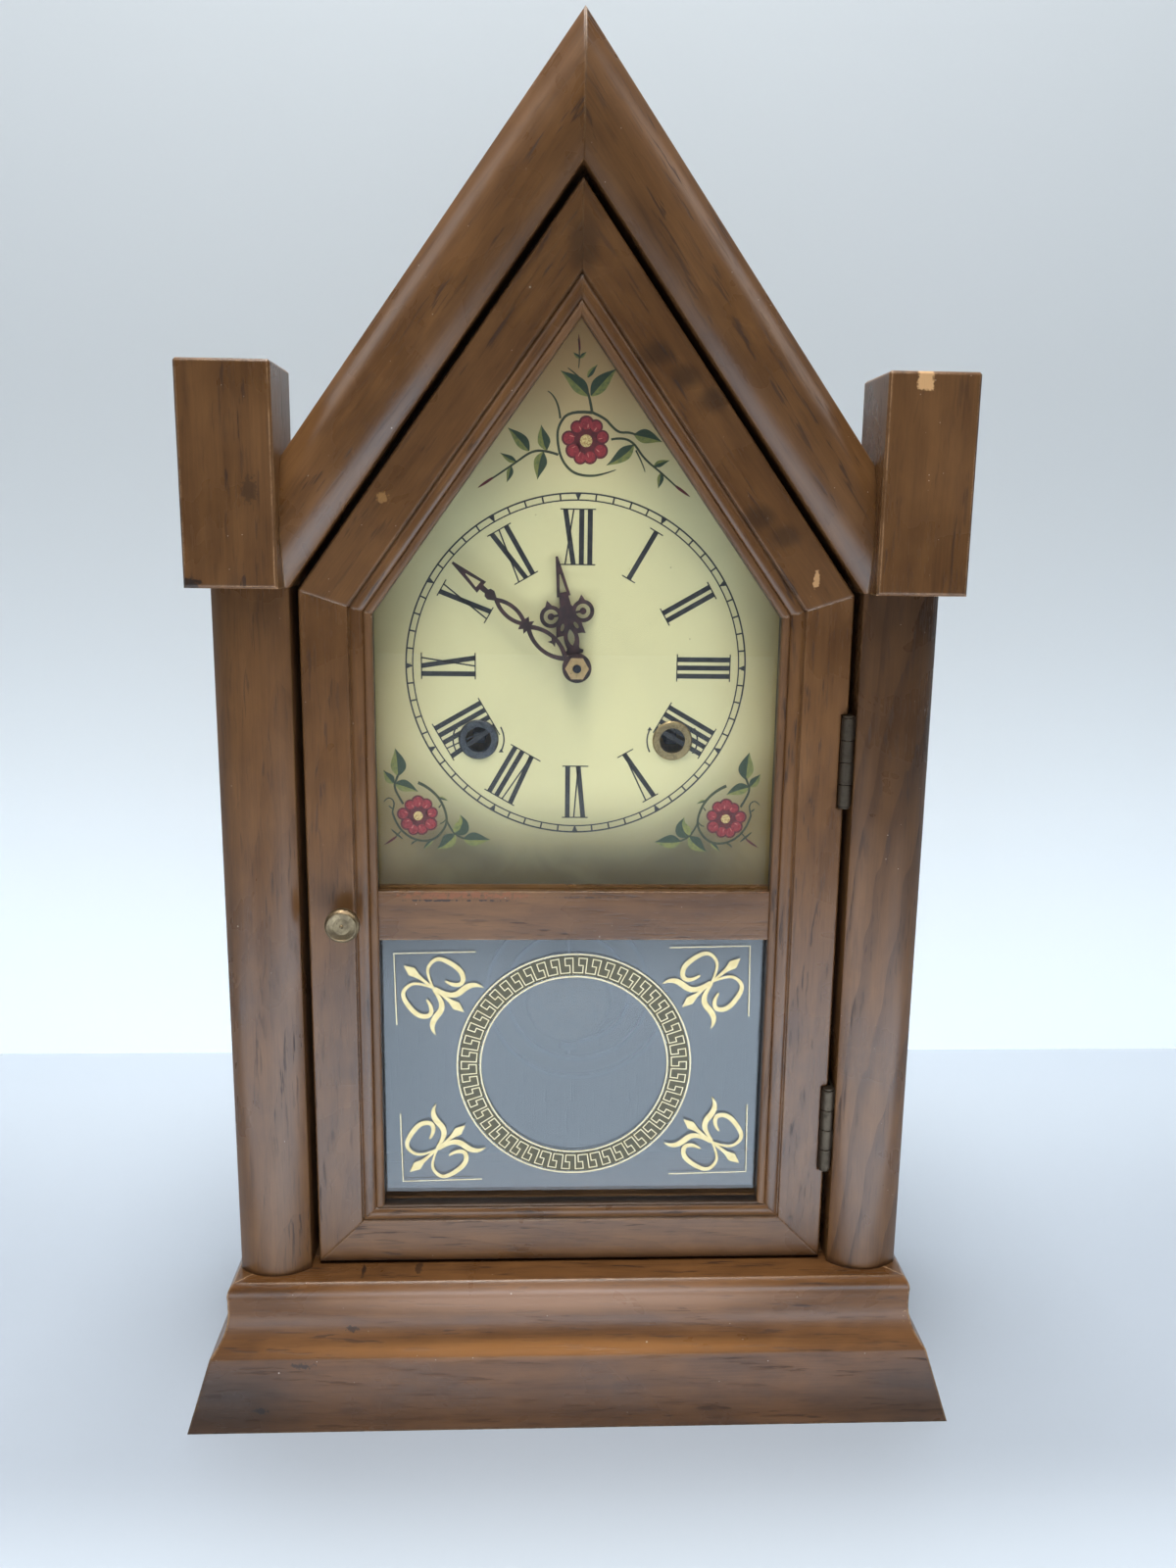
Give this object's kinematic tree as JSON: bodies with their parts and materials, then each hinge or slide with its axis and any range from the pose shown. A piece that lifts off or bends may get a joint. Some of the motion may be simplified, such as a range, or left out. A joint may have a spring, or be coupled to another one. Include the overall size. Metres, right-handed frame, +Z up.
{
  "type": "steeple clock",
  "caption": "Gabled wooden shelf clock with a glazed hinged door, square shoulder blocks, Roman dial, striking spring movement and pendulum.",
  "frame": {"origin": "on the table under the middle of the base", "axes": "+Z up, +Y to the back, +X to the right as seen from the front"},
  "size_m": [0.292, 0.122, 0.505],
  "materials": {
    "wood": "satin lacquer over dark stain",
    "plywood": "thin board, dull",
    "clear_glass": "clear",
    "dial_enamel": "aged cream paint",
    "black_steel": "dark lacquer",
    "cast_iron": "rough black",
    "magnet": "dull",
    "aged_brass": "aged",
    "movement_brass": "stamped",
    "steel": "drawn"
  },
  "bodies": {
    "case": {"base_front_moulding": "wood", "base_side_mouldings": "wood", "base_back_rail": "wood", "floor_board": "wood", "side_boards": "wood", "roof_board_left": "wood", "roof_board_right": "wood", "front_board": "wood", "back_panel": "plywood", "back_panel_screws": "steel", "column_left": "wood", "column_right": "wood", "shoulder_block_left": "wood", "shoulder_block_right": "wood", "roof_moulding_left": "wood", "roof_moulding_right": "wood", "dial_plate": "dial_enamel", "winding_grommet_left": "black_steel", "winding_grommet_right": "aged_brass", "hinge_case_leaves": "aged_brass", "hinge_pins": "steel", "catch_magnet": "magnet", "gong_base": "cast_iron", "gong_coil": "steel", "front_plate": "movement_brass", "back_plate": "movement_brass", "plate_pillars": "steel", "mainsprings": "steel"},
    "door": {"door_stile_left": "wood", "door_stile_right": "wood", "door_bottom_rail": "wood", "door_rake_left": "wood", "door_rake_right": "wood", "door_mid_rail": "wood", "upper_glass": "clear_glass", "lower_glass": "clear_glass", "glazing_strips": "wood", "door_knob": "aged_brass", "hinge_door_leaves": "aged_brass", "catch_plate": "steel"},
    "centre": {"centre_arbor": "movement_brass", "minute_hand": "black_steel", "hand_nut": "aged_brass"},
    "hour": {"hour_wheel": "movement_brass", "hour_hand": "black_steel"},
    "motion_wheel": {"minute_wheel": "movement_brass"},
    "time_winding": {"time_winding_arbor": "steel"},
    "time_great": {"time_great_wheel": "movement_brass"},
    "time_second": {"second_wheel": "movement_brass"},
    "time_third": {"third_wheel": "movement_brass"},
    "escape": {"escape_wheel": "movement_brass"},
    "anchor": {"anchor": "steel"},
    "pendulum": {"pendulum_rod": "steel", "pendulum_bob": "aged_brass"},
    "strike_winding": {"strike_winding_arbor": "steel"},
    "strike_great": {"strike_great_wheel": "movement_brass"},
    "strike_second": {"strike_second_wheel": "movement_brass"},
    "strike_pins": {"pin_wheel": "movement_brass"},
    "strike_fly": {"fly": "movement_brass"},
    "hammer": {"hammer": "steel"}
  },
  "joints": [
    {"name": "door_hinge", "type": "hinge", "parent": "case", "child": "door", "pos_m": [0.0992, -0.0336, 0.18265], "axis": [0, 0, 1], "range_deg": [0, 95]},
    {"name": "minute_hand_turn", "type": "hinge", "parent": "case", "child": "centre", "pos_m": [0, 0.02, 0.288], "axis": [0, 1, 0], "continuous": true},
    {"name": "hour_hand_turn", "type": "hinge", "parent": "case", "child": "hour", "pos_m": [0, 0.02, 0.288], "axis": [0, 1, 0], "continuous": true},
    {"name": "motion_wheel_turn", "type": "hinge", "parent": "case", "child": "motion_wheel", "pos_m": [0, 0.02, 0.2736], "axis": [0, 1, 0], "continuous": true},
    {"name": "time_winding_turn", "type": "hinge", "parent": "case", "child": "time_winding", "pos_m": [0.0366, 0.02, 0.2604], "axis": [0, 1, 0], "continuous": true},
    {"name": "time_great_turn", "type": "hinge", "parent": "case", "child": "time_great", "pos_m": [0.0366, 0.02, 0.2604], "axis": [0, 1, 0], "continuous": true},
    {"name": "time_second_turn", "type": "hinge", "parent": "case", "child": "time_second", "pos_m": [0.0238, 0.02, 0.28841], "axis": [0, 1, 0], "continuous": true},
    {"name": "time_third_turn", "type": "hinge", "parent": "case", "child": "time_third", "pos_m": [-0.01515, 0.02, 0.30395], "axis": [0, 1, 0], "continuous": true},
    {"name": "escape_turn", "type": "hinge", "parent": "case", "child": "escape", "pos_m": [0, 0.02, 0.317], "axis": [0, 1, 0], "continuous": true},
    {"name": "pendulum_swing", "type": "hinge", "parent": "case", "child": "pendulum", "pos_m": [0, 0.043, 0.33], "axis": [0, 1, 0], "range_deg": [-4, 4]},
    {"name": "anchor_rock", "type": "hinge", "parent": "case", "child": "anchor", "pos_m": [0, 0.02, 0.33], "axis": [0, 1, 0], "range_deg": [-4, 4]},
    {"name": "strike_winding_turn", "type": "hinge", "parent": "case", "child": "strike_winding", "pos_m": [-0.0366, 0.02, 0.2604], "axis": [0, 1, 0], "continuous": true},
    {"name": "strike_great_turn", "type": "hinge", "parent": "case", "child": "strike_great", "pos_m": [-0.0366, 0.02, 0.2604], "axis": [0, 1, 0], "continuous": true},
    {"name": "strike_second_turn", "type": "hinge", "parent": "case", "child": "strike_second", "pos_m": [-0.04195, 0.02, 0.29073], "axis": [0, 1, 0], "continuous": true},
    {"name": "strike_pins_turn", "type": "hinge", "parent": "case", "child": "strike_pins", "pos_m": [-0.0383, 0.02, 0.31141], "axis": [0, 1, 0], "continuous": true},
    {"name": "strike_fly_turn", "type": "hinge", "parent": "case", "child": "strike_fly", "pos_m": [-0.0311, 0.02, 0.32388], "axis": [0, 1, 0], "continuous": true},
    {"name": "hammer_lift", "type": "hinge", "parent": "case", "child": "hammer", "pos_m": [-0.058, 0.02, 0.31], "axis": [0, 1, 0], "range_deg": [0, 8], "stiffness_Nm_per_rad": 0.02, "springref_deg": -17.19}
  ],
  "couplings": [
    {"joint": "hour_hand_turn", "follows": "minute_hand_turn", "ratio": 0.083333},
    {"joint": "motion_wheel_turn", "follows": "minute_hand_turn", "ratio": -0.33333},
    {"joint": "time_second_turn", "follows": "minute_hand_turn", "ratio": -0.16667},
    {"joint": "time_great_turn", "follows": "minute_hand_turn", "ratio": 0.027778},
    {"joint": "time_third_turn", "follows": "minute_hand_turn", "ratio": -9},
    {"joint": "escape_turn", "follows": "minute_hand_turn", "ratio": 81},
    {"joint": "anchor_rock", "follows": "pendulum_swing", "ratio": 1},
    {"joint": "strike_second_turn", "follows": "strike_pins_turn", "ratio": -0.16667},
    {"joint": "strike_great_turn", "follows": "strike_pins_turn", "ratio": 0.027778},
    {"joint": "strike_fly_turn", "follows": "strike_pins_turn", "ratio": -5}
  ]
}
